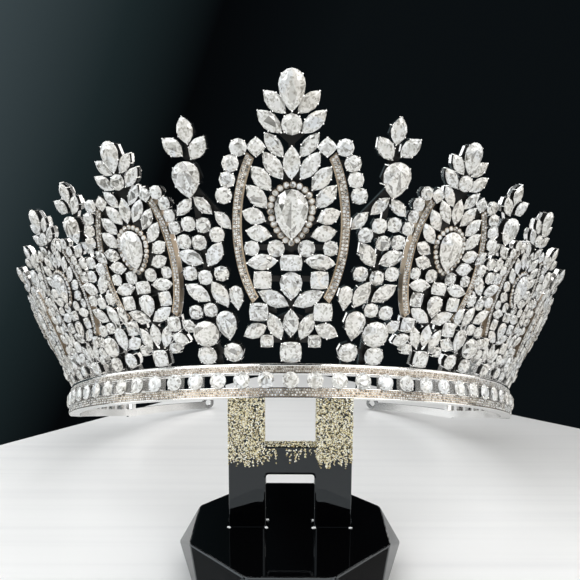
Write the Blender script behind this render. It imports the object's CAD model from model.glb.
# %% [markdown]
# # A bridal crown on its display stand
#
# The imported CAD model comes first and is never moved. It holds the soldered metal of the crown, the
# main cut stones and the black acrylic stand, in metres, with the floor at Z = 0, the viewer's right
# at +X and the front at -Y. Everything made below is set on that frame.

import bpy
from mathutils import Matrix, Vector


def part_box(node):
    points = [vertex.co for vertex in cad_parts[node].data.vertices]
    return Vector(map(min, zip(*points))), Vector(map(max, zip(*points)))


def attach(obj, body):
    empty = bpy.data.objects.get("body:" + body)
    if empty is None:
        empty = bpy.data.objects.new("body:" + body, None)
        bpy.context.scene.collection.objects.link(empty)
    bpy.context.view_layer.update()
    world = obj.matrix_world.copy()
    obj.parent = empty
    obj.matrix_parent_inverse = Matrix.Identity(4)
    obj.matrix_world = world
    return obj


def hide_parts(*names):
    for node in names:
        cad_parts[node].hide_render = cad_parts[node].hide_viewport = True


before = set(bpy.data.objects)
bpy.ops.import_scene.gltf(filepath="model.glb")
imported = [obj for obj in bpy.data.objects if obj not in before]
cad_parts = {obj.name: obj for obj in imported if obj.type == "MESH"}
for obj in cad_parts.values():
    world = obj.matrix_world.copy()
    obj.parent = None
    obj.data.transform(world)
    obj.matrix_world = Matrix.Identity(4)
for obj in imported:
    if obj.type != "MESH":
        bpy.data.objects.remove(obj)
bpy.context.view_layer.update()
print("CAD nodes:", len(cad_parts))

# %% Tools and units
import math
import random
from collections import namedtuple

import bmesh
import bpy
from mathutils import Euler, Matrix, Vector, noise

mm = 0.001
scene = bpy.context.scene
chance = random.Random(11)


def turn(axis, degrees):
    return Matrix.Rotation(math.radians(degrees), 4, axis)


def shift(x, y, z):
    return Matrix.Translation((x, y, z))


def stretch(x, y, z):
    return Matrix.Diagonal((x, y, z, 1))


# %% [markdown]
# ## Where things sit
#
# A crown like this is cast flat in small pieces, which are then bent round the band and soldered. The
# script works the same way. Each motif is laid out flat, in millimetres, and one matrix carries it to
# its place: shrunk to its size, leaned outwards, turned to its azimuth and tilted back on the stand.

# %% The crown's own dimensions
band_radius = 75
band_height = 8.7
band_depth = 3.2
rail_height = 2.6
rise_from = 80
band_rise = 5
strip_from = 119
strip_rise = 7
flare = 30
plate_depth = 0.75
crown_tilt = 24.25
front_height = 48.1
setback = 15.7

crown_pose = (
    Matrix.Scale(mm, 4)
    @ shift(0, setback, front_height - band_radius * math.sin(math.radians(crown_tilt)))
    @ turn("X", -crown_tilt)
)


def raised(angle, azimuth):
    """The rear of the crown, tilted up about a line across the band."""
    hinge = -band_radius * math.cos(math.radians(azimuth))
    return shift(0, hinge, 0) @ turn("X", angle) @ shift(0, -hinge, 0)


def at_azimuth(azimuth):
    rise = band_rise if abs(azimuth) > rise_from else 0
    return crown_pose @ raised(rise, rise_from) @ turn("Z", azimuth)


def motif_place(azimuth, size, ease=0, mirrored=False):
    """Takes the flat millimetres of a motif to its place; ease is how much less it leans out."""
    place = (
        at_azimuth(azimuth)
        @ shift(0, 1 - band_radius, band_height)
        @ turn("X", 90 + flare - ease)
        @ shift(0, 0, -plate_depth)
        @ Matrix.Scale(size, 4)
    )
    return place @ stretch(-1, 1, 1) if mirrored else place


# %% [markdown]
# ## The stones of the motifs
#
# Two motifs alternate round the band: an oval medallion and a slim finial. Their stones are listed
# once, as a setter would chart them: place across and up, lean, width, length and cut, in millimetres.

# %% Charts of the stones
ROUND, LEAF, PEAR, CUSHION = "round", "leaf", "pear", "cushion"

medallion_line = [
    (0, 3.5, 90, 5.5, 5.5, CUSHION),
    (0, 11.1, 90, 4.1, 7.1, LEAF),
    (0, 20.8, 90, 5.6, 7.0, PEAR),
    (0, 26.6, 90, 5.5, 4.1, CUSHION),
    (0, 38.6, 90, 8.1, 12.1, PEAR),
    (0, 50.7, 90, 4.2, 7.7, LEAF),
    (0, 59.5, 90, 5.0, 5.0, ROUND),
    (0, 67.2, 90, 6.3, 9.6, PEAR),
]
medallion_pairs = [
    (6.0, 6.2, 90, 3.4, 3.4, CUSHION),
    (8.9, 9.0, -25, 4.1, 6.1, LEAF),
    (3.9, 10.2, 67, 3.8, 7.3, LEAF),
    (8.0, 14.0, 90, 4.8, 4.8, CUSHION),
    (4.3, 17.4, 25, 4.1, 8.1, LEAF),
    (7.0, 22.2, 90, 4.6, 4.6, CUSHION),
    (7.1, 26.7, -5, 4.1, 7.5, LEAF),
    (3.7, 30.1, 90, 4.3, 4.3, ROUND),
    (9.6, 30.1, 90, 3.8, 3.8, ROUND),
    (7.9, 33.8, 12, 4.1, 6.1, LEAF),
    (9.0, 38.0, 23, 4.1, 5.9, LEAF),
    (8.3, 42.7, 48, 4.1, 7.1, LEAF),
    (7.2, 47.0, 51, 4.1, 7.1, LEAF),
    (4.4, 50.0, 54, 4.0, 7.7, LEAF),
    (4.2, 54.8, 51, 3.5, 7.0, LEAF),
    (8.4, 54.3, 45, 3.8, 3.8, CUSHION),
    (5.2, 60.1, 42, 4.0, 7.5, LEAF),
    (4.0, 64.5, 45, 3.9, 7.0, LEAF),
    (16.2, 42.9, 90, 4.1, 4.1, ROUND),
    (15.3, 46.7, 90, 3.9, 3.9, ROUND),
    (14.5, 50.5, 90, 4.1, 4.1, ROUND),
    (12.6, 54.2, 90, 4.2, 4.2, ROUND),
]
finial_stones = [
    (-2.6, 3.0, 90, 5.1, 5.1, ROUND),
    (4.5, 3.6, 90, 5.1, 5.1, ROUND),
    (3.9, 10.9, 94, 5.3, 7.6, PEAR),
    (-1.8, 9.0, 90, 6.9, 6.9, ROUND),
    (-6.5, 10.9, 137, 3.2, 4.5, LEAF),
    (-4.0, 14.6, 90, 3.8, 3.8, ROUND),
    (0.0, 15.0, 90, 3.8, 3.8, ROUND),
    (7.3, 17.8, 90, 3.6, 6.2, PEAR),
    (-2.6, 19.7, 142, 4.1, 7.3, LEAF),
    (3.2, 19.0, 114, 4.1, 7.3, LEAF),
    (-0.1, 23.5, 90, 3.9, 3.9, ROUND),
    (-3.9, 24.8, 90, 3.8, 3.8, ROUND),
    (4.3, 24.2, 90, 3.9, 3.9, ROUND),
    (-3.0, 28.8, 152, 4.1, 6.7, LEAF),
    (3.3, 29.2, 53, 4.1, 6.9, LEAF),
    (-0.3, 32.4, 90, 3.9, 3.9, ROUND),
    (-4.2, 32.9, 90, 3.8, 3.8, ROUND),
    (4.6, 34.0, 90, 3.9, 3.9, ROUND),
    (-2.4, 37.2, 90, 3.8, 3.8, ROUND),
    (1.4, 36.6, 90, 3.9, 3.9, ROUND),
    (6.6, 37.4, 128, 3.2, 5.5, LEAF),
    (-2.8, 41.4, 41, 3.2, 5.5, LEAF),
    (2.0, 41.4, 133, 3.2, 5.9, LEAF),
    (-0.7, 48.0, 93, 7.0, 8.8, PEAR),
    (-3.3, 55.9, 134, 4.1, 6.3, LEAF),
    (2.9, 55.1, 51, 4.1, 6.3, LEAF),
    (0.4, 59.5, 94, 4.1, 6.5, LEAF),
]
medallion_stones = (
    medallion_line
    + medallion_pairs
    + [(-x, y, 180 - lean, wide, long, cut) for x, y, lean, wide, long, cut in medallion_pairs]
)

# Azimuth and size of the motifs on one side, and how much less they lean out; both sides are the same
side_medallions = [
    (26.9, 0.84, 2.5),
    (47.6, 0.71, 1),
    (66, 0.58, 0),
    (83.5, 0.48, 0),
    (99, 0.38, 0),
    (111, 0.3, 0),
]
side_finials = [
    (14.3, 1, 0),
    (37.6, 0.86, 1),
    (56.5, 0.7, 0.5),
    (75, 0.56, 0),
    (91.5, 0.45, 0),
    (105.5, 0.36, 0),
]

Motif = namedtuple("Motif", "kind where size place")
motifs = [Motif("medallion", "centre", 1, motif_place(0, 1))]
for side, sign in {"left": -1, "right": 1}.items():
    for number, (azimuth, size, ease) in enumerate(side_medallions, 1):
        place = motif_place(sign * azimuth, size, ease)
        motifs.append(Motif("medallion", f"{side}_{number}", size, place))
    for number, (azimuth, size, ease) in enumerate(side_finials, 1):
        place = motif_place(sign * azimuth, size, ease, sign > 0)
        motifs.append(Motif("finial", f"{side}_{number}", size, place))
charts = {"medallion": medallion_stones, "finial": finial_stones}
print("motifs:", len(motifs), "stones:", sum(len(charts[motif.kind]) for motif in motifs))

# %% [markdown]
# ## Finishes
#
# A material is built from nodes that read Object coordinates, so that its grain stays put on the piece
# from every side. One helper lays down the shader and the noise that varies it.

# %% Helper for finishes
def new_material(name, **sockets):
    material = bpy.data.materials.new(name)
    material.use_nodes = True
    nodes = material.node_tree.nodes
    shader = nodes["Principled BSDF"]
    for socket, value in sockets.items():
        shader.inputs[socket.replace("_", " ")].default_value = value
    return material, nodes, material.node_tree.links, shader


def grain(nodes, links, kind, scale, **settings):
    """A noise or Voronoi texture in the piece's own coordinates."""
    place = nodes.new("ShaderNodeTexCoord")
    texture = nodes.new("ShaderNodeTex" + kind)
    texture.inputs["Scale"].default_value = scale
    for socket, value in settings.items():
        texture.inputs[socket].default_value = value
    links.new(place.outputs["Object"], texture.inputs["Vector"])
    return texture


def ramp(nodes, links, source, *stops):
    """A colour ramp with the given (place, colour) stops."""
    mix = nodes.new("ShaderNodeValToRGB")
    steps = mix.color_ramp.elements
    while len(steps) < len(stops):
        steps.new(0.5)
    for step, (place, colour) in zip(steps, stops):
        step.position = place
        step.color = (*colour, 1)
    links.new(source, mix.inputs["Fac"])
    return mix.outputs["Color"]


def spread(nodes, links, source, low, high):
    """Maps a value between 0 and 1 to a range."""
    mapper = nodes.new("ShaderNodeMapRange")
    mapper.inputs["To Min"].default_value = low
    mapper.inputs["To Max"].default_value = high
    links.new(source, mapper.inputs["Value"])
    return mapper.outputs["Result"]


def relief(nodes, links, shader, source, strength, distance):
    bump = nodes.new("ShaderNodeBump")
    bump.inputs["Strength"].default_value = strength
    bump.inputs["Distance"].default_value = distance
    links.new(source, bump.inputs["Height"])
    links.new(bump.outputs["Normal"], shader.inputs["Normal"])


# %% [markdown]
# The stones are cubic zirconia. It bends light more than glass does, its facets are polished flat, and
# most of the light that enters comes back out, from a different part of the room in each facet and in
# each splinter of a facet. A renderer finds that mosaic only with very many samples, so every facet
# carries a grey of its own in an attribute, a fine cell pattern breaks it up, and the shader lies
# between clear glass and a pale body in that grey. Stones differ a little too, some warm, some cool.

# %% Stones
def multiply(nodes, links, first, second):
    mix = nodes.new("ShaderNodeMix")
    mix.data_type = "RGBA"
    mix.blend_type = "MULTIPLY"
    mix.inputs["Factor"].default_value = 1
    links.new(first, mix.inputs["A"])
    links.new(second, mix.inputs["B"])
    return mix.outputs["Result"]


def clear_stone():
    material, nodes, links, shader = new_material(
        "clear_stone", Transmission_Weight=0.12, IOR=2.1, Roughness=0.04
    )
    facet = nodes.new("ShaderNodeAttribute")
    facet.attribute_name = "facet"
    grey = ramp(
        nodes,
        links,
        facet.outputs["Fac"],
        (0.0, (0.16, 0.16, 0.15)),
        (0.2, (0.5, 0.49, 0.47)),
        (0.38, (0.92, 0.92, 0.9)),
        (1.0, (1.0, 1.0, 1.0)),
    )
    splinters = grain(nodes, links, "Voronoi", 2100)
    sparkle = ramp(
        nodes,
        links,
        splinters.outputs["Color"],
        (0.0, (0.36, 0.34, 0.31)),
        (0.28, (0.72, 0.71, 0.68)),
        (0.45, (1.0, 1.0, 1.0)),
        (1.0, (1.0, 1.0, 1.0)),
    )
    batch = grain(nodes, links, "Voronoi", 190)
    cast = ramp(
        nodes,
        links,
        batch.outputs["Color"],
        (0.0, (0.93, 0.96, 1.0)),
        (0.5, (1.0, 1.0, 0.98)),
        (1.0, (1.0, 0.96, 0.9)),
    )
    both = multiply(nodes, links, grey, sparkle)
    links.new(multiply(nodes, links, both, cast), shader.inputs["Base Color"])
    return material


stone_finish = clear_stone()

# %% [markdown]
# The metal is cast, polished and rhodium plated. The lips and prongs mirror the room with fine
# polishing marks. Stones stand close over the front faces of the plates, so those are given a dark,
# dull grey, and the backs are left as cast: the finish reads its height above the band and which way
# it faces. The beds under the small set stones have a warm champagne colour, and the inner edge of the
# oval strips is polished bronze.

# %% Metals
def plated_metal(name, dark, light, rough):
    material, nodes, links, shader = new_material(name, Metallic=1.0)
    clouds = grain(nodes, links, "Noise", 90, Detail=4)
    links.new(
        ramp(nodes, links, clouds.outputs["Fac"], (0.3, dark), (0.7, light)),
        shader.inputs["Base Color"],
    )
    links.new(
        spread(nodes, links, clouds.outputs["Fac"], rough * 0.6, rough * 1.5),
        shader.inputs["Roughness"],
    )
    marks = grain(nodes, links, "Noise", 2600, Detail=2)
    relief(nodes, links, shader, marks.outputs["Fac"], 0.12, 0.02 * mm)
    return material


silver_finish = plated_metal("rhodium_silver", (0.78, 0.77, 0.75), (0.94, 0.93, 0.91), 0.16)
bed_finish = plated_metal("champagne_bed", (0.2, 0.15, 0.1), (0.62, 0.51, 0.39), 0.3)
edge_finish = plated_metal("bronze_edge", (0.3, 0.23, 0.15), (0.64, 0.53, 0.4), 0.16)

# %% Metal of the frame, bright but for the front faces of the plates, which lie in shade
def mapped(nodes, links, source, kind, **settings):
    mapper = nodes.new("ShaderNodeMapping")
    mapper.vector_type = kind
    for socket, value in settings.items():
        mapper.inputs[socket].default_value = value
    links.new(source, mapper.inputs["Vector"])
    return mapper.outputs["Vector"]


def reckon(nodes, links, operation, first, second):
    """One step of arithmetic on two sockets, or on a socket and a number."""
    step = nodes.new("ShaderNodeMath")
    step.operation = operation
    links.new(first, step.inputs[0])
    if isinstance(second, (int, float)):
        step.inputs[1].default_value = second
    else:
        links.new(second, step.inputs[1])
    return step.outputs["Value"]


def measured(nodes, links, operation, first, second, output="Value"):
    """One step of vector arithmetic, between a socket and a socket or a fixed vector."""
    step = nodes.new("ShaderNodeVectorMath")
    step.operation = operation
    links.new(first, step.inputs[0])
    if isinstance(second, tuple):
        step.inputs[1].default_value = second
    elif second is not None:
        links.new(second, step.inputs[1])
    return step.outputs[output]


def limits(nodes, links, source, low, high):
    """Nought below one value, one above another."""
    mapper = nodes.new("ShaderNodeMapRange")
    mapper.inputs["From Min"].default_value = low
    mapper.inputs["From Max"].default_value = high
    links.new(source, mapper.inputs["Value"])
    return mapper.outputs["Result"]


plate_starts = (band_height + 0.05, band_height + 0.3)
facing_out = (0.62, 0.7)
facing_in = (-0.62, -0.7)
plate_front = (0.045, 0.045, 0.045)
plate_back = (0.4, 0.4, 0.39)


def frame_metal():
    material, nodes, links, shader = new_material("frame_metal", Metallic=1.0)
    place = nodes.new("ShaderNodeTexCoord").outputs["Object"]
    turned = crown_pose
    above = None
    for tilt in (Matrix(), raised(band_rise, rise_from), raised(strip_rise, strip_from)):
        turned = turned @ tilt
        up = turned.inverted()[2]
        along = measured(nodes, links, "DOT_PRODUCT", place, tuple(up.xyz))
        height = reckon(nodes, links, "ADD", along, up.w)
        above = height if above is None else reckon(nodes, links, "MINIMUM", above, height)
    on_plate = limits(nodes, links, above, *plate_starts)

    # A front face looks away from the band's axis, a back face towards it, a cut edge to neither
    tilt = math.radians(crown_tilt)
    middle = crown_pose.translation
    ring_place = mapped(nodes, links, place, "TEXTURE", Location=middle, Rotation=(-tilt, 0, 0))
    outward = measured(nodes, links, "MULTIPLY", ring_place, (1.0, 1.0, 0.0), "Vector")
    outward = measured(nodes, links, "NORMALIZE", outward, None, "Vector")
    normal = nodes.new("ShaderNodeNewGeometry").outputs["Normal"]
    ring_normal = mapped(nodes, links, normal, "VECTOR", Rotation=(tilt, 0, 0))
    facing = measured(nodes, links, "DOT_PRODUCT", ring_normal, outward)
    shaded = reckon(nodes, links, "MULTIPLY", on_plate, limits(nodes, links, facing, *facing_out))
    cast_back = reckon(nodes, links, "MULTIPLY", on_plate, limits(nodes, links, facing, *facing_in))
    dull = reckon(nodes, links, "ADD", shaded, cast_back)

    clouds = grain(nodes, links, "Noise", 90, Detail=4)
    polished = ramp(nodes, links, clouds.outputs["Fac"], (0.3, (0.76, 0.75, 0.73)), (0.7, (0.92, 0.91, 0.9)))
    shade = ramp(nodes, links, shaded, (0.0, (1, 1, 1)), (1.0, plate_front))
    greyer = ramp(nodes, links, cast_back, (0.0, (1, 1, 1)), (1.0, plate_back))
    both = multiply(nodes, links, shade, greyer)
    links.new(multiply(nodes, links, polished, both), shader.inputs["Base Color"])
    links.new(spread(nodes, links, dull, 0.16, 0.42), shader.inputs["Roughness"])
    return material


frame_finish = frame_metal()

# %% [markdown]
# ## Cut stones
#
# A brilliant cut is the convex form between a few rings of points: a table, the tips of the star
# facets, the girdle and a culet below. Each ring starts as a circle, is pressed into the outline of
# the cut, and a convex hull then finds every facet. That is short, always closed, and gives the kites
# and triangles of a real stone. The form is one unit wide, so each stone is this one stretched.

# %% Outlines of the cuts
leaf_fullness = 1.64


def outline_point(cut, angle):
    """Point on a unit outline, with the point of a pear at the bottom."""
    x, y = math.cos(angle), math.sin(angle)
    if cut == LEAF:
        return math.copysign(0.5 * abs(x) ** leaf_fullness, x), 0.5 * y
    if cut == PEAR and y < 0:
        return math.copysign(0.5 * abs(x) ** leaf_fullness, x), 0.12 + 0.62 * y
    if cut == PEAR:
        return 0.5 * x, 0.12 + 0.38 * y
    if cut == CUSHION:
        return (math.copysign(0.5 * abs(v) ** 0.55, v) for v in (x, y))
    return 0.5 * x, 0.5 * y


# %% One brilliant of each cut
table_share = 0.56
star_share = 0.8
pavilion_share = 0.29
girdle_share = 0.04
crown_share = 0.14
star_height = 0.62


def cut_ring(bm, cut, share, height, count, half_step=False):
    ring = bmesh.ops.create_circle(bm, segments=count, radius=1)["verts"]
    step = math.pi / count if half_step else 0
    for v in ring:
        x, y = outline_point(cut, math.atan2(v.co.y, v.co.x) + step)
        v.co = (x * share, y * share, height)


def brilliant(cut, sides):
    """A cut with a table of some sides and a girdle of twice as many."""
    bm = bmesh.new()
    top = pavilion_share + girdle_share
    cut_ring(bm, cut, table_share, top + crown_share, sides)
    cut_ring(bm, cut, star_share, top + crown_share * star_height, sides, True)
    cut_ring(bm, cut, 1, top, 2 * sides)
    cut_ring(bm, cut, 1, pavilion_share, 2 * sides)
    bmesh.ops.create_vert(bm, co=(0, 0, 0))
    bmesh.ops.convex_hull(bm, input=bm.verts)
    bmesh.ops.recalc_face_normals(bm, faces=bm.faces)
    bm.faces.layers.float.new("facet")
    mesh = bpy.data.meshes.new("cut_" + cut)
    bm.to_mesh(mesh)
    bm.free()
    return mesh


all_cuts = (ROUND, LEAF, PEAR, CUSHION)
cuts = {cut: brilliant(cut, 6) for cut in all_cuts}
fine_cuts = {cut: brilliant(cut, 8) for cut in all_cuts}
print("facets:", {cut: (len(cuts[cut].polygons), len(fine_cuts[cut].polygons)) for cut in all_cuts})

# %% [markdown]
# ## Making a piece from many small forms
#
# A setter presses the same few forms into the metal again and again. A stamp does that here: it adds a
# copy of a small mesh, already moved to its place, to the piece under way. Each facet of the copy gets
# a grey of its own, near the shade of its stone.

# %% Stamps and pieces
facet_spread = 0.45


def stamp(bm, form, place, shade=None):
    copy = form.copy()
    copy.transform(place)
    if shade is not None:
        greys = [shade + chance.uniform(-facet_spread, facet_spread) for _ in copy.polygons]
        copy.attributes["facet"].data.foreach_set("value", greys)
    bm.from_mesh(copy)
    bpy.data.meshes.remove(copy)


def form_of(bm, name):
    mesh = bpy.data.meshes.new(name)
    bm.to_mesh(mesh)
    bm.free()
    return mesh


def new_piece(bm, name, finish, slot, replaced=()):
    """Turns the mesh under way into a piece that rides on the crown's one body."""
    if bm.verts and bm.faces:
        bmesh.ops.recalc_face_normals(bm, faces=bm.faces)
    piece = bpy.data.objects.new(name, form_of(bm, name))
    scene.collection.objects.link(piece)
    piece.data.materials.append(finish)
    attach(piece, "root")
    if replaced:
        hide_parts(*replaced)
    return piece


def moved_copy(form, place):
    bm = bmesh.new()
    bm.from_mesh(form)
    bmesh.ops.transform(bm, matrix=place, verts=bm.verts)
    return bm


# %% [markdown]
# ## Stones of the crown
#
# Every stone sits on its point, a little above the plate. The small ones are turned a degree or two
# from their neighbours, as hand-set stones are, and the main ones are set level. The named main stones
# stand for the CAD nodes of the same name.

# %% One stone in its place
point_gap = 0.12
stone_wobble = 1.6


def stone_place(row, size=1, wobbly=stone_wobble):
    x, y, lean, wide, long, cut = row
    wobble = Euler([math.radians(chance.uniform(-wobbly, wobbly)) for _ in "xyz"])
    middle = shift(0, 0, pavilion_share * wide)
    return (
        shift(x, y, point_gap / size)
        @ turn("Z", lean - 90)
        @ middle
        @ wobble.to_matrix().to_4x4()
        @ middle.inverted()
        @ stretch(wide, long, wide)
    )


def stone_field(name, rows, place, size=1, replaced=(), forms=cuts, wobbly=stone_wobble):
    bm = bmesh.new()
    for row in rows:
        shade = chance.uniform(0.45, 0.75)
        stamp(bm, forms[row[-1]], place @ stone_place(row, size, wobbly), shade)
    return new_piece(bm, name, stone_finish, "clear_stone", replaced)


# %% Main stones, each on its own
medallion_main = {"band_cushion": 0, "lower_pear": 2, "middle_pear": 4, "apex_pear": 7}
finial_main = {"foot_pear": 2, "finial_pear": 23}
medallion_named = [medallion_line[i] for i in medallion_main.values()]
finial_named = [finial_stones[i] for i in finial_main.values()]
medallion_rest = [row for row in medallion_stones if row not in medallion_named]
finial_rest = [row for row in finial_stones if row not in finial_named]


def main_stone(name, row, motif):
    node = f"{name}_{motif.where}"
    stands_for = [node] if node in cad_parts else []
    stone_field(node + "_cut", [row], motif.place, motif.size, stands_for, fine_cuts, 0)


mains = {"medallion": medallion_main, "finial": finial_main}
for motif in motifs:
    for name, i in mains[motif.kind].items():
        main_stone(name, charts[motif.kind][i], motif)

# %% Sprays of small stones
spray_split = 36
centre = motifs[0]
upper = [row for row in medallion_rest if row[1] > spray_split]
lower = [row for row in medallion_rest if row[1] <= spray_split]
stone_field("upper_spray_cut", upper, centre.place, 1, ["upper_spray_centre"])
stone_field("lower_spray_cut", lower, centre.place, 1, ["lower_spray_centre"])
rest = {"medallion": medallion_rest, "finial": finial_rest}
for motif in motifs[1:]:
    side, number = motif.where.split("_")
    stone_field(
        f"{motif.kind}_spray_{motif.where}_cut",
        rest[motif.kind],
        motif.place,
        motif.size,
        [f"{motif.kind}_spray_{side}"] if number == "1" else [],
    )

# %% Round stones of the band
band_stone = 4.3
band_pitch = 4.74
band_stones_each_side = 25
inner_radius = band_radius - band_depth
post_depth = 2.2
band_seat = inner_radius + post_depth + point_gap

band_places = [
    at_azimuth(i * band_pitch) @ shift(0, -band_seat, band_height / 2) @ turn("X", 90)
    for i in range(-band_stones_each_side, band_stones_each_side + 1)
]
bm = bmesh.new()
for place in band_places:
    spin = turn("Z", chance.uniform(0, 360))
    stamp(bm, fine_cuts[ROUND], place @ spin @ Matrix.Scale(band_stone, 4), chance.uniform(0.42, 0.7))
new_piece(bm, "band_stones_cut", stone_finish, "clear_stone", ["band_stones"])

# %% [markdown]
# ## Prongs
#
# Each stone is held by thin posts that rise from the plate beside the girdle and end in a bead bent
# over its edge. A leaf has one at each point and one on each flank.

# %% One prong
prong_angles = {
    ROUND: (45, 135, 225, 315),
    CUSHION: (45, 135, 225, 315),
    LEAF: (90, 200, 270, 20),
    PEAR: (40, 140, 205, 270, 335),
}
prong_bead = 0.25


def prong_form():
    bm = bmesh.new()
    bmesh.ops.create_cone(
        bm, cap_ends=True, segments=5, radius1=0.75, radius2=0.6, depth=1, matrix=shift(0, 0, 0.5)
    )
    return form_of(bm, "prong_post")


def bead_form():
    bm = bmesh.new()
    bmesh.ops.create_icosphere(bm, subdivisions=1, radius=1)
    return form_of(bm, "bead")


post, bead = prong_form(), bead_form()


def set_prongs(bm, row, size=1):
    """Prongs round one stone, in the flat millimetres of the motif."""
    x, y, lean, wide, long, cut = row
    reach = point_gap / size + (pavilion_share + girdle_share) * wide
    thick = prong_bead * (0.7 + 0.08 * wide)
    for angle in prong_angles[cut]:
        px, py = outline_point(cut, math.radians(angle))
        out = Vector((px * wide, py * long, 0))
        edge = out.normalized() * thick * 0.35
        foot = shift(x, y, 0) @ turn("Z", lean - 90) @ shift(*(out + edge))
        stamp(bm, post, foot @ stretch(thick, thick, reach))
        head = shift(*(-edge * 1.2)) @ shift(0, 0, reach)
        stamp(bm, bead, foot @ head @ stretch(thick, thick, thick * 0.8))


def prongs_of(rows, name):
    bm = bmesh.new()
    for row in rows:
        set_prongs(bm, row)
    return form_of(bm, name)


medallion_prongs = prongs_of(medallion_stones, "medallion_prongs")
finial_prongs = prongs_of(finial_stones, "finial_prongs")
print("prongs in a medallion:", len(medallion_prongs.polygons), "faces")

# %% Prongs of every motif and of the band
prongs = {"medallion": medallion_prongs, "finial": finial_prongs}
for motif in motifs:
    name = f"{motif.kind}_{motif.where}_prongs"
    new_piece(moved_copy(prongs[motif.kind], motif.place), name, silver_finish, "crown_metal")

band_prongs = prongs_of([(0, 0, 90, band_stone, band_stone, ROUND)], "band_stone_prongs")
bm = bmesh.new()
for place in band_places:
    stamp(bm, band_prongs, place)
new_piece(bm, "band_prongs", silver_finish, "crown_metal")

# %% [markdown]
# ## Small set stones
#
# The rails, the oval strips and the collars of the middle pears are covered with tiny stones set edge
# to edge on a champagne-coloured bed. At that size a stone shows only its table and a ring of facets,
# so it is a low cut cone of seven sides. On the oval strips, beads of metal hold the stones.

# %% One small set stone and one bead
def small_stone_form():
    bm = bmesh.new()
    bmesh.ops.create_cone(
        bm, cap_ends=True, segments=7, radius1=0.5, radius2=0.27, depth=0.3, matrix=shift(0, 0, 0.15)
    )
    bm.faces.layers.float.new("facet")
    return form_of(bm, "small_stone")


small_stone = small_stone_form()
small_tilt = 10


def set_small_stone(bm, place, width, dullest=-0.1):
    tilt = turn("X", chance.uniform(-small_tilt, small_tilt))
    tilt = tilt @ turn("Y", chance.uniform(-small_tilt, small_tilt))
    spin = turn("Z", chance.uniform(0, 50))
    shade = chance.uniform(dullest, 0.9)
    stamp(bm, small_stone, place @ tilt @ spin @ Matrix.Scale(width, 4), shade)


# %% [markdown]
# A profile spun round the band's axis makes everything that follows the band. The rear part of the
# band is tilted up a little, so it is spun by itself and then tilted.

# %% Sweeps round the band
def band_sweep(bm, corners, start, end, rise):
    """Spins corners of (radius, height) from one azimuth to another, and adds them to a piece."""
    part = bmesh.new()
    part.faces.new([part.verts.new((0, -radius, height)) for radius, height in corners])
    bmesh.ops.rotate(part, verts=part.verts, matrix=turn("Z", start).to_3x3())
    bmesh.ops.spin(
        part,
        geom=part.verts[:] + part.edges[:] + part.faces[:],
        axis=(0, 0, 1),
        angle=math.radians(end - start),
        steps=max(4, int((end - start) / 2)),
    )
    form = form_of(part, "band_part")
    stamp(bm, form, crown_pose @ raised(rise, rise_from))
    bpy.data.meshes.remove(form)


joint_lap = 0.6
band_parts = (
    (-rise_from, rise_from, 0),
    (rise_from - joint_lap, strip_from + joint_lap, band_rise),
    (-strip_from - joint_lap, joint_lap - rise_from, band_rise),
)

# %% Beds and lips of the rails
rail_lip = 0.33
top_lip = 0.75
lip_proud = 0.11
bed_proud = 0.03
upper_rail = band_height - rail_height
rails = ((0, rail_lip), (upper_rail, top_lip))

bed, lips = bmesh.new(), bmesh.new()
for start, end, rise in band_parts:
    for base, over in rails:
        low, high = base + rail_lip, base + rail_height - over
        front, back = band_radius + bed_proud, band_radius - 0.2
        band_sweep(bed, [(back, low), (front, low), (front, high), (back, high)], start, end, rise)
        for middle, tall in ((base + rail_lip / 2, rail_lip), (high + over / 2, over)):
            corners = []
            for i in range(8):
                angle = math.radians(22.5 + 45 * i)
                across = (lip_proud + 0.1) * math.cos(angle)
                corners.append((band_radius - 0.1 + across, middle + 0.54 * (tall - 0.04) * math.sin(angle)))
            band_sweep(lips, corners, start, end, rise)
new_piece(bed, "rail_beds", bed_finish, "crown_metal")
new_piece(lips, "rail_lips", silver_finish, "crown_metal")

# %% Small stones of the rails
rail_rows = 3
rail_end = strip_from - 1
rail_spacing = 1.12
rail_fill = 0.96

bm = bmesh.new()
for base, over in rails:
    pitch = (rail_height - rail_lip - over) / rail_rows
    step = math.degrees(pitch * rail_spacing / band_radius)
    for line in range(rail_rows):
        height = base + rail_lip + (line + 0.5) * pitch
        azimuth = -rail_end + (line % 2) * step / 2
        while azimuth < rail_end:
            place = at_azimuth(azimuth) @ shift(0, -band_radius - bed_proud, height) @ turn("X", 90)
            set_small_stone(bm, place, pitch * rail_fill)
            azimuth += step
new_piece(bm, "rail_small_stones", stone_finish, "clear_stone")

# %% [markdown]
# ## Oval strips
#
# A raised strip runs up each side of a medallion, with two rows of small stones on its face and a
# polished bronze edge towards the middle. A small rectangle spun about a point gives an arc, and
# drawing that arc out along Y turns it into part of an oval.

# %% Sweeps along the oval
oval_half_width = 13.1
oval_half_height = 25
oval_middle = 35.6
oval_low = -48
oval_high = 42
oval_rise = 1.3


def oval_sweep(inner, outer, low, high):
    """A strip between two offsets from the oval's middle line and between two heights."""
    bm = bmesh.new()
    near, far = oval_half_width + inner, oval_half_width + outer
    corners = ((near, low), (far, low), (far, high), (near, high))
    bm.faces.new([bm.verts.new((x, 0, z)) for x, z in corners])
    bmesh.ops.rotate(bm, verts=bm.verts, matrix=turn("Z", oval_low).to_3x3())
    bmesh.ops.spin(
        bm,
        geom=bm.verts[:] + bm.edges[:] + bm.faces[:],
        axis=(0, 0, 1),
        angle=math.radians(oval_high - oval_low),
        steps=24,
    )
    for v in bm.verts:
        v.co.y += oval_middle + (oval_half_height - oval_half_width) * v.co.y / v.co.xy.length
    return form_of(bm, "oval_part")


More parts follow.
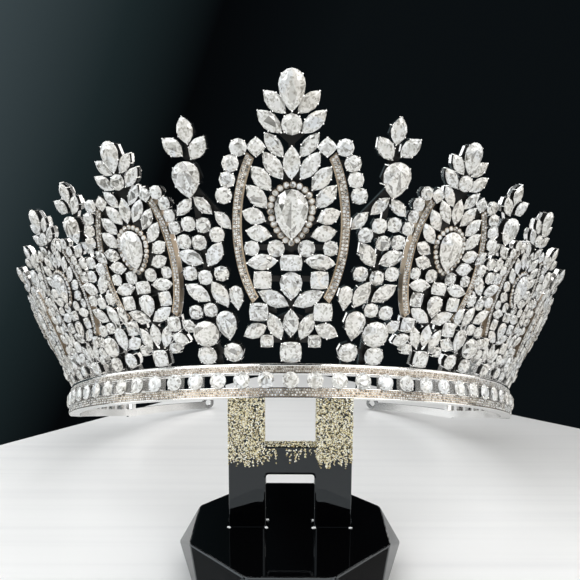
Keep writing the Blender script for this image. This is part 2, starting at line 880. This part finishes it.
def both_sides(*forms):
    bm = bmesh.new()
    for form in forms:
        for side in (1, -1):
            stamp(bm, form, stretch(side, 1, 1))
    return form_of(bm, "oval_pair")


strip_bed = both_sides(oval_sweep(-0.82, 1.12, -0.9, oval_rise + 0.03))
strip_edge = both_sides(oval_sweep(-1.12, -0.8, -0.95, oval_rise + 0.14))

# %% Small stones of the oval strips
pave_stone = 0.88
pave_rows = (-0.35, 0.6)


def along_oval(offset, pitch, start):
    """Places set at one pitch along the oval, at an offset from its middle line."""
    wide, high = oval_half_width + offset, oval_half_height + offset
    angle = math.radians(oval_low) + start * pitch / wide
    while angle < math.radians(oval_high - 1):
        yield wide * math.cos(angle), oval_middle + high * math.sin(angle)
        angle += pitch / math.hypot(wide * math.sin(angle), high * math.cos(angle))


stones, beads = bmesh.new(), bmesh.new()
for side in (1, -1):
    for line, offset in enumerate(pave_rows):
        for x, y in along_oval(offset, pave_stone * 1.03, 0.5 + 0.5 * line):
            set_small_stone(stones, shift(side * x, y, oval_rise), pave_stone)
    for x, y in along_oval(0.13, pave_stone * 0.52, 0.25):
        stamp(beads, bead, shift(side * x, y, oval_rise + 0.1) @ Matrix.Scale(0.15, 4))
strip_stones, strip_beads = form_of(stones, "strip_stones"), form_of(beads, "strip_beads")

# %% [markdown]
# ## Collars
#
# A collar of small stones follows the outline of each middle pear. A stone of the collar is left out
# where a neighbouring leaf or round stone already covers the place.

# %% Collar of a middle pear
collar_rise = 2.0
collar_offset = 0.95
collar_stone = 1.5
collar_dullest = 0.2


def covered(x, y, rows, margin):
    """True where a place lies under one of the stones."""
    for cx, cy, lean, wide, long, cut in rows:
        near = turn("Z", 90 - lean) @ Vector((x - cx, y - cy, 0))
        if math.hypot(near.x / (wide / 2 + margin), near.y / (long / 2 + margin)) < 1:
            return True
    return False


def around(row, offset, pitch):
    """Places at one pitch round the outline of a stone, an offset away from it."""
    x, y, lean, wide, long, cut = row
    place = shift(x, y, 0) @ turn("Z", lean - 90)
    points = []
    for i in range(360):
        px, py = outline_point(cut, math.radians(i))
        points.append(Vector((px * wide, py * long, 0)))
    last = None
    for i, point in enumerate(points):
        along = points[(i + 2) % 360] - points[i - 2]
        outward = Vector((along.y, -along.x, 0)).normalized()
        spot = point + outward * offset
        if last is None or (spot - last).length >= pitch:
            last = spot
            yield place @ spot


pear = medallion_line[medallion_main["middle_pear"]]
neighbours = [row for row in medallion_stones if row != pear]


def cup_form():
    bm = bmesh.new()
    bmesh.ops.create_cone(
        bm, cap_ends=True, segments=8, radius1=0.92, radius2=0.8, depth=0.16, matrix=shift(0, 0, 0.02)
    )
    return form_of(bm, "cup")


cup = cup_form()
stones, cups = bmesh.new(), bmesh.new()
for spot in around(pear, collar_offset, collar_stone * 1.02):
    if not covered(spot.x, spot.y, neighbours, 0.15):
        place = shift(spot.x, spot.y, collar_rise)
        set_small_stone(stones, place @ shift(0, 0, 0.06), collar_stone, collar_dullest)
        stamp(cups, cup, place)
collar_stones, collar_cups = form_of(stones, "collar_stones"), form_of(cups, "collar_cups")
print("small stones in a collar:", len(collar_stones.polygons) // 9)

# %% Strips and collars of every medallion
for motif in motifs:
    if motif.kind != "medallion":
        continue
    for part, flat, finish, slot in (
        ("strip_beds", strip_bed, bed_finish, "crown_metal"),
        ("strip_edges", strip_edge, edge_finish, "crown_metal"),
        ("strip_beads", strip_beads, silver_finish, "crown_metal"),
        ("collar_cups", collar_cups, bed_finish, "crown_metal"),
        ("strip_stones", strip_stones, stone_finish, "clear_stone"),
        ("collar_stones", collar_stones, stone_finish, "clear_stone"),
    ):
        new_piece(moved_copy(flat, motif.place), f"medallion_{motif.where}_{part}", finish, slot)

# %% [markdown]
# ## Open backs
#
# Seen from inside the crown, each stone's basket ends in a low ring, and the point of the stone shows
# within it. A disc in the outline of the cut is inset and drawn up, which leaves a ring.

# %% Rings and points behind the stones
plate_thickness = 1
ring_share = 0.78


def ring_form(cut):
    bm = bmesh.new()
    made = bmesh.ops.create_circle(bm, cap_ends=True, segments=10, radius=1)
    for v in made["verts"]:
        v.co.xy = outline_point(cut, math.atan2(v.co.y, v.co.x))
    bmesh.ops.inset_region(bm, faces=bm.faces[:], use_boundary=True, use_even_offset=True, thickness=0.1)
    inner = max(bm.faces, key=lambda face: len(face.verts))
    bmesh.ops.delete(bm, geom=[inner], context="FACES_ONLY")
    drawn = bmesh.ops.extrude_face_region(bm, geom=bm.faces[:])["geom"]
    bmesh.ops.translate(bm, verts=[v for v in drawn if isinstance(v, bmesh.types.BMVert)], vec=(0, 0, 1))
    return form_of(bm, "ring_" + cut)


def point_form(cut):
    bm = bmesh.new()
    bmesh.ops.create_cone(bm, cap_ends=True, segments=8, radius1=0.12, radius2=0.8, depth=1)
    for v in bm.verts:
        share = v.co.xy.length
        x, y = outline_point(cut, math.atan2(v.co.y, v.co.x))
        v.co.xy = (x * share, y * share)
    bm.faces.layers.float.new("facet")
    return form_of(bm, "point_" + cut)


rings = {cut: ring_form(cut) for cut in all_cuts}
points = {cut: point_form(cut) for cut in all_cuts}
print("faces of a ring:", {cut: len(form.polygons) for cut, form in rings.items()})
ring_height = 0.45
point_height = 0.3


def set_back(metal, stones, row, size):
    x, y, lean, wide, long, cut = row
    behind = shift(x, y, -plate_thickness / size) @ turn("Z", lean - 90)
    across, along = wide * ring_share, long * ring_share
    stamp(metal, rings[cut], behind @ shift(0, 0, -ring_height) @ stretch(across, along, ring_height + 0.1))
    stamp(
        stones,
        points[cut],
        behind @ shift(0, 0, -point_height / 2) @ stretch(across, along, point_height + 0.1),
        chance.uniform(0.3, 0.6),
    )


for motif in motifs:
    metal, stones = bmesh.new(), bmesh.new()
    for row in charts[motif.kind]:
        set_back(metal, stones, row, motif.size)
    for bm, part, finish, slot in (
        (metal, "rings", silver_finish, "crown_metal"),
        (stones, "points", stone_finish, "clear_stone"),
    ):
        bmesh.ops.transform(bm, matrix=motif.place, verts=bm.verts)
        new_piece(bm, f"{motif.kind}_{motif.where}_{part}", finish, slot)

# %% [markdown]
# ## The stand
#
# The stand is cut from black acrylic: polished, with thin bright bevelled edges. A bevelled edge is
# what catches the light on a black object. The CAD meshes of the two pieces have the right form but
# sharp edges, so a merged copy of each is bevelled and stands for it.

# %% Acrylic
sheet_lean = -0.075
sheet_waves = 0.03 * mm


def black_acrylic():
    material, nodes, links, shader = new_material(
        "black_acrylic", Base_Color=(0.001, 0.001, 0.0012, 1), IOR=1.52, Coat_Weight=0.2
    )
    shader.inputs["Specular Tint"].default_value = (0.85, 0.94, 1, 1)
    dust = grain(nodes, links, "Noise", 700, Detail=6)
    links.new(spread(nodes, links, dust.outputs["Fac"], 0.0, 0.07), shader.inputs["Roughness"])
    # Upright faces lean back by a hair, and the sheet is faintly wavy
    place = nodes.new("ShaderNodeTexCoord").outputs["Object"]
    lean = measured(nodes, links, "DOT_PRODUCT", place, (0.0, 0.0, sheet_lean))
    waves = grain(nodes, links, "Noise", 60, Detail=1).outputs["Fac"]
    height = reckon(nodes, links, "ADD", lean, reckon(nodes, links, "MULTIPLY", waves, sheet_waves))
    relief(nodes, links, shader, height, 1, 1)
    return material


acrylic_finish = black_acrylic()


weld = 0.005 * mm
flat_within = math.radians(1)
sharp_from = math.radians(20)


def bevelled(node, width, softer=(), softer_width=0):
    """A merged copy of a CAD node with its sharp edges broken; some edges may be rounded more."""
    bm = bmesh.new()
    bm.from_mesh(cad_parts[node].data)
    bmesh.ops.remove_doubles(bm, verts=bm.verts, dist=weld)
    bmesh.ops.dissolve_limit(bm, angle_limit=flat_within, verts=bm.verts, edges=bm.edges)
    sharp = [e for e in bm.edges if e.is_convex and e.calc_face_angle(0) > sharp_from]
    soft = [e for e in sharp if softer and all(inside(v.co, softer) for v in e.verts)]
    for edges, offset, steps in ((soft, softer_width, 4), ([e for e in sharp if e not in soft], width, 2)):
        if edges:
            bmesh.ops.bevel(
                bm,
                geom=[e for e in edges if e.is_valid],
                offset=offset,
                offset_type="OFFSET",
                affect="EDGES",
                segments=steps,
                profile=0.5,
                material=-1,
                clamp_overlap=True,
            )
    bmesh.ops.triangulate(bm, faces=bm.faces)
    piece = new_piece(bm, node + "_bevelled", acrylic_finish, "stand_acrylic", [node])
    print(node, "edges bevelled:", len(sharp), "of them rounded:", len(soft))
    print(node, "faces:", len(piece.data.polygons))


def inside(place, box):
    return all(low <= v <= high for v, (low, high) in zip(place, box))


upright_low, upright_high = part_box("stand_upright")
arch_half = 6.2 * mm
arch_top = 27.3 * mm
arch_front = (
    (-arch_half - 0.1 * mm, arch_half + 0.1 * mm),
    (upright_low[1] - 0.1 * mm, upright_low[1] + 0.1 * mm),
    (upright_low[2] - 0.1 * mm, arch_top + 0.1 * mm),
)
bevelled("stand_base", 0.4 * mm)
bevelled("stand_upright", 0.22 * mm, arch_front, 0.9 * mm)


def dress(node, finish):
    """Gives a CAD node that stays in view its finish."""
    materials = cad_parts[node].data.materials
    materials.clear()
    materials.append(finish)


dress("crown_frame", frame_finish)

# %% [markdown]
# ## Glitter
#
# The tops of the prongs were dipped in glue and then in coarse glitter, gold and silver, which stands on
# end as a rough crust with a ragged lower edge and a few drips. Each grain is a low pyramid of four
# sides at an angle of its own, and the shade of each side picks its place between gold and silver.

# %% Foil
def foil():
    material, nodes, links, shader = new_material("foil", Metallic=0.4, Roughness=0.35)
    facet = nodes.new("ShaderNodeAttribute")
    facet.attribute_name = "facet"
    colour = ramp(
        nodes,
        links,
        facet.outputs["Fac"],
        (0.0, (0.07, 0.05, 0.02)),
        (0.25, (0.5, 0.39, 0.16)),
        (0.5, (0.85, 0.77, 0.47)),
        (0.8, (0.97, 0.94, 0.8)),
        (1.0, (1.0, 1.0, 0.95)),
    )
    links.new(colour, shader.inputs["Base Color"])
    return material


foil_finish = foil()


def grit_form():
    bm = bmesh.new()
    bmesh.ops.create_cone(
        bm, cap_ends=True, segments=4, radius1=0.5, radius2=0, depth=0.3, matrix=shift(0, 0, 0.08)
    )
    bm.faces.layers.float.new("facet")
    return form_of(bm, "grit")


grit = grit_form()

# %% Faces of the prongs that are coated
low_corner, high_corner = upright_low / mm, upright_high / mm
left, right = low_corner.x, high_corner.x
front, rear = low_corner.y, high_corner.y
window = 6.6
sill = 35
glitter_top = 47.75
glitter_foot = 29.2
deep = rear - front
tall = glitter_top - glitter_foot
in_front = 12
elsewhere = 6
on_sill = 8
on_drips = 7

# Place of a corner of the face, its width, its height, the ragged height at its foot, grains per mm2
coated = []
for x, width in ((left, -window - left), (window, right - window)):
    coated.append((shift(x, front, glitter_foot) @ turn("X", 90), width, tall, 2.4, in_front))
    back_face = shift(x + width, rear, glitter_foot) @ turn("Z", 180) @ turn("X", 90)
    coated.append((back_face, width, tall, 2.4, elsewhere))
outer_left = shift(left, rear, glitter_foot) @ turn("Z", -90) @ turn("X", 90)
outer_right = shift(right, front, glitter_foot) @ turn("Z", 90) @ turn("X", 90)
inner_left = shift(-window, front, sill) @ turn("Z", 90) @ turn("X", 90)
inner_right = shift(window, rear, sill) @ turn("Z", -90) @ turn("X", 90)
coated.append((outer_left, deep, tall, 2.4, elsewhere))
coated.append((outer_right, deep, tall, 2.4, elsewhere))
coated.append((inner_left, deep, glitter_top - sill, 0, elsewhere))
coated.append((inner_right, deep, glitter_top - sill, 0, elsewhere))
coated.append((shift(-window, front, sill), 2 * window, deep, 0, on_sill))

# Drips down the crossbar, between its dark edge and the bare acrylic above the arch
drip_foot, drip_top = 30.6, 34.4
drips = shift(-window, front, drip_foot) @ turn("X", 90)
coated.append((drips, 2 * window, drip_top - drip_foot, 4.1, on_drips))

# %% Grains
grain_lean = 16
grain_least, grain_most = 0.35, 0.65


def scatter(bm, place, width, height, ragged, density):
    for _ in range(int(width * height * density)):
        x, y = chance.uniform(0, width), chance.uniform(0, height)
        edge = ragged * (0.5 + 1.3 * noise.noise(place @ Vector((x * 1.6, 0, 0))))
        if y < edge or (ragged and y < edge + 0.8 and chance.random() < 0.4):
            continue
        lean = turn("X", chance.gauss(0, grain_lean)) @ turn("Y", chance.gauss(0, grain_lean))
        lean = lean @ turn("Z", chance.uniform(0, 90))
        wide = chance.uniform(grain_least, grain_most)
        stamp(
            bm,
            grit,
            Matrix.Scale(mm, 4) @ place @ shift(x, y, 0.02) @ lean @ stretch(wide, wide, wide),
            chance.betavariate(1.5, 1.4),
        )


bm = bmesh.new()
for face in coated:
    scatter(bm, *face)
piece = new_piece(bm, "prong_glitter", foil_finish, "glitter")
print("grains:", len(piece.data.polygons) // len(grit.polygons))

# %% [markdown]
# The legs are glued into the slots of the base, and a little clear glue has run out at their corners.

# %% Glue at the feet
def glue_drops():
    material, nodes, links, shader = new_material("glue", Base_Color=(0.75, 0.76, 0.76, 1), IOR=1.5)
    cloud = grain(nodes, links, "Noise", 900, Detail=2)
    links.new(spread(nodes, links, cloud.outputs["Fac"], 0.15, 0.4), shader.inputs["Roughness"])
    base_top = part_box("stand_base")[1][2] / mm
    bm = bmesh.new()
    for x in (left, -arch_half / mm, arch_half / mm, right):
        for y in (front, rear):
            for _ in range(3):
                size = chance.uniform(0.25, 0.5)
                near = shift(x + chance.uniform(-0.3, 0.3), y + chance.uniform(-0.2, 0.2), base_top)
                stamp(bm, bead, Matrix.Scale(mm, 4) @ near @ stretch(size, size, size * 0.6))
    new_piece(bm, "glue_drops", material, "stand_acrylic")


glue_drops()

# %% [markdown]
# ## Studio
#
# The crown stands near the corner of a pale board, before a dark background, under soft lights.
# Metal and cut stones show what is round them more than their own colour, so the lights are wide
# panels which the camera doesn't see. The panels leave a dark band straight behind and straight in
# front, which is what the black stand mirrors.

# %% Floor
board_corner = Vector((-1, 146.8, 0)) * mm
board_left = Vector((-1, -1, 0)).normalized() * 700 * mm
board_right = Vector((1, -0.745, 0)).normalized() * 700 * mm
board_rounding = 30 * mm
board_thickness = 5 * mm

# Direction in which the paint gets darker, where that starts and ends, and what is left of it
paint_fades = (
    ((0.0, 1.0, 0.0), 0.0, 0.15, 0.78),
    ((0.6, 0.5, 0.0), 0.03, 0.13, 0.55),
)


def pale_paint():
    material, nodes, links, shader = new_material("pale_paint", Roughness=0.35)
    place = nodes.new("ShaderNodeTexCoord").outputs["Object"]
    drawn_out = mapped(nodes, links, place, "POINT", Scale=(4, 260, 1))
    lines = nodes.new("ShaderNodeTexNoise")
    lines.inputs["Scale"].default_value = 1
    lines.inputs["Detail"].default_value = 4
    links.new(drawn_out, lines.inputs["Vector"])
    paint = ramp(
        nodes,
        links,
        lines.outputs["Fac"],
        (0.3, (0.79, 0.79, 0.79)),
        (0.5, (0.83, 0.83, 0.825)),
        (0.8, (0.85, 0.85, 0.845)),
    )
    # The paint gets darker towards the far end, and more so on the right
    for towards, start, end, least in paint_fades:
        away = measured(nodes, links, "DOT_PRODUCT", place, towards)
        faded = limits(nodes, links, away, start, end)
        dimmer = ramp(nodes, links, faded, (0.0, (1, 1, 1)), (1.0, (least,) * 3))
        paint = multiply(nodes, links, paint, dimmer)
    links.new(paint, shader.inputs["Base Color"])
    return material


def pale_board():
    bm = bmesh.new()
    bmesh.ops.create_grid(bm, x_segments=1, y_segments=1, size=0.5)
    skew = Matrix((board_left, board_right, (0, 0, 1))).transposed().to_4x4()
    bmesh.ops.transform(bm, matrix=shift(*board_corner) @ skew @ shift(0.5, 0.5, 0), verts=bm.verts)
    far = min(bm.verts, key=lambda v: (v.co - board_corner).length)
    bmesh.ops.bevel(
        bm, geom=[far], offset=board_rounding, affect="VERTICES", segments=10, profile=0.5, material=-1
    )
    drawn = bmesh.ops.extrude_face_region(bm, geom=bm.faces[:])["geom"]
    bmesh.ops.translate(
        bm, verts=[v for v in drawn if isinstance(v, bmesh.types.BMVert)], vec=(0, 0, -board_thickness)
    )
    bmesh.ops.recalc_face_normals(bm, faces=bm.faces)
    upper = [e for e in bm.edges if all(v.co.z > -0.001 * mm for v in e.verts)]
    bmesh.ops.bevel(
        bm, geom=upper, offset=1.2 * mm, affect="EDGES", segments=3, profile=0.5, material=-1
    )
    board = bpy.data.objects.new("pale_board", form_of(bm, "pale_board"))
    scene.collection.objects.link(board)
    board.data.materials.append(pale_paint())


pale_board()

# %% Room and lights
def dark_room():
    """Near black all round, a little lighter high on the left."""
    world = bpy.data.worlds.new("dark_room")
    scene.world = world
    world.use_nodes = True
    nodes, links = world.node_tree.nodes, world.node_tree.links
    place = nodes.new("ShaderNodeTexCoord")
    towards = nodes.new("ShaderNodeVectorMath")
    towards.operation = "DOT_PRODUCT"
    towards.inputs[1].default_value = (-1, 0, 0.4)
    links.new(place.outputs["Generated"], towards.inputs[0])
    colour = ramp(
        nodes,
        links,
        towards.outputs["Value"],
        (0.0, (0.0035, 0.005, 0.006)),
        (0.18, (0.0015, 0.002, 0.0025)),
        (0.3, (0.012, 0.02, 0.022)),
        (0.45, (0.042, 0.058, 0.064)),
    )
    links.new(colour, nodes["Background"].inputs["Color"])


def soft_light(name, place, aim, width, height, radiance, colour=(1, 1, 1)):
    lamp = bpy.data.lights.new(name, "AREA")
    lamp.shape = "RECTANGLE"
    lamp.size = width
    lamp.size_y = height
    lamp.energy = radiance * math.pi * width * height
    lamp.color = colour
    light = bpy.data.objects.new(name, lamp)
    light.location = place
    light.rotation_euler = (Vector(aim) - Vector(place)).to_track_quat("-Z", "Y").to_euler()
    light.visible_camera = False
    scene.collection.objects.link(light)


dark_room()
crown_middle = (0, 0, 0.06)
soft_light("left_front_light", (-0.95, -1.1, 0.9), crown_middle, 1.1, 0.8, 3.0, (0.98, 0.99, 1))
soft_light("right_front_light", (0.95, -1.1, 0.9), crown_middle, 1.1, 0.8, 3.0, (1, 0.99, 0.97))
soft_light("top_light", (0, -0.1, 1.0), crown_middle, 1.4, 1.2, 2.1)
soft_light("left_light", (-0.95, 0.1, 0.45), crown_middle, 1.0, 0.8, 1.9, (0.95, 0.98, 1))
soft_light("right_light", (0.95, 0.1, 0.45), crown_middle, 1.0, 0.8, 1.9, (1, 0.98, 0.95))
soft_light("low_left_light", (-0.6, 0.8, 0.12), crown_middle, 0.4, 0.3, 1.5)

# %% Camera
focal_pixels = 692
frame_pixels = 580
camera_pitch = 9.25
camera_roll = 0.25
camera_height = 102.6 * mm
camera_distance = 166.9 * mm
band_front = (setback - band_radius * math.cos(math.radians(crown_tilt))) * mm

lens = bpy.data.cameras.new("camera")
lens.sensor_width = 36
lens.lens = lens.sensor_width * focal_pixels / frame_pixels
lens.clip_start = 0.01
camera = bpy.data.objects.new("camera", lens)
camera.matrix_world = (
    shift(-0.25 * mm, band_front - camera_distance, camera_height)
    @ turn("X", 90 - camera_pitch)
    @ turn("Z", camera_roll)
)
scene.collection.objects.link(camera)
scene.camera = camera
scene.view_settings.view_transform = "Standard"
